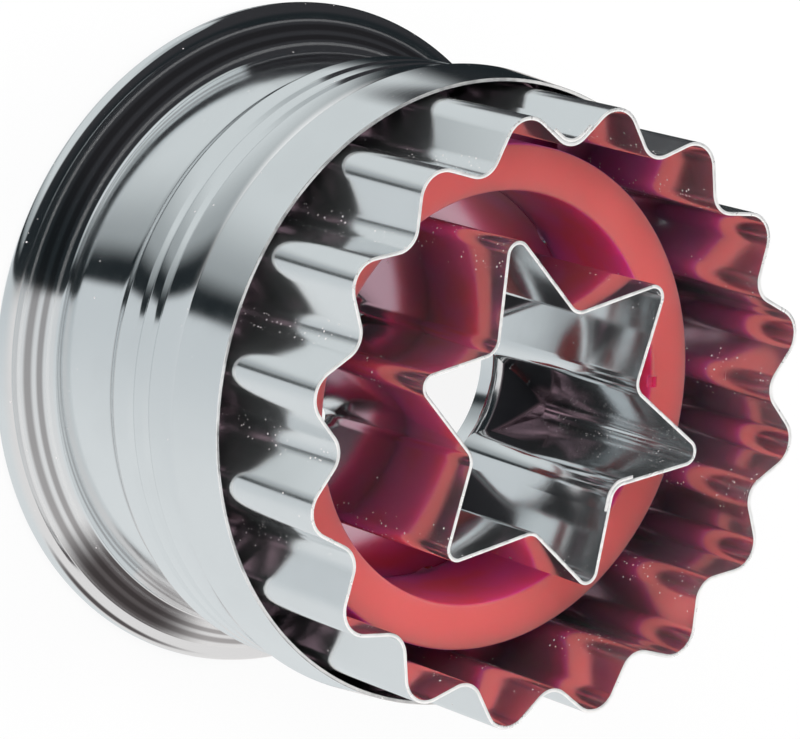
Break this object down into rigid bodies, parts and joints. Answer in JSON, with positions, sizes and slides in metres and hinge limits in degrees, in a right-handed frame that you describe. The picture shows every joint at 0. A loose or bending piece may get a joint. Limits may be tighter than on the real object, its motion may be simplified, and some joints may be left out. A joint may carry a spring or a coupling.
{
  "type": "linzer cookie cutter",
  "caption": "Hand cookie cutter with a fluted outer edge, a star-shaped inner cutter, a sprung plastic ring between them that ejects the dough, and a rolled finger flange.",
  "frame": {"origin": "on the cutter's axis, in the plane of the flange face that it stands on", "axes": "+Z along the axis from the finger flange to the cutting edges; +X through the crest of one flute"},
  "size_m": [0.0542, 0.0542, 0.0372],
  "materials": {
    "polished_sheet": "bright polished sheet, fine drawing marks",
    "red_plastic": "moulded, satin face and glossier walls",
    "spring_wire": "drawn wire",
    "plated_screw": "zinc plated"
  },
  "bodies": {
    "cutter": {"flanged_sleeve": "polished_sheet", "carrier_plate": "polished_sheet", "fluted_cutter": "polished_sheet", "star_cutter": "polished_sheet", "return_spring_1": "spring_wire", "return_spring_2": "spring_wire", "return_spring_3": "spring_wire"},
    "ejector": {"ejector_ring": "red_plastic", "push_ring": "red_plastic", "push_ring_screws": "plated_screw"}
  },
  "joints": [
    {"name": "eject_slide", "type": "slide", "parent": "cutter", "child": "ejector", "axis": [0, 0, 1], "range_m": [0, 0.009], "stiffness_N_per_m": 1800, "springref_m": -0.002, "deforming": ["return_spring_1", "return_spring_2", "return_spring_3"]}
  ]
}
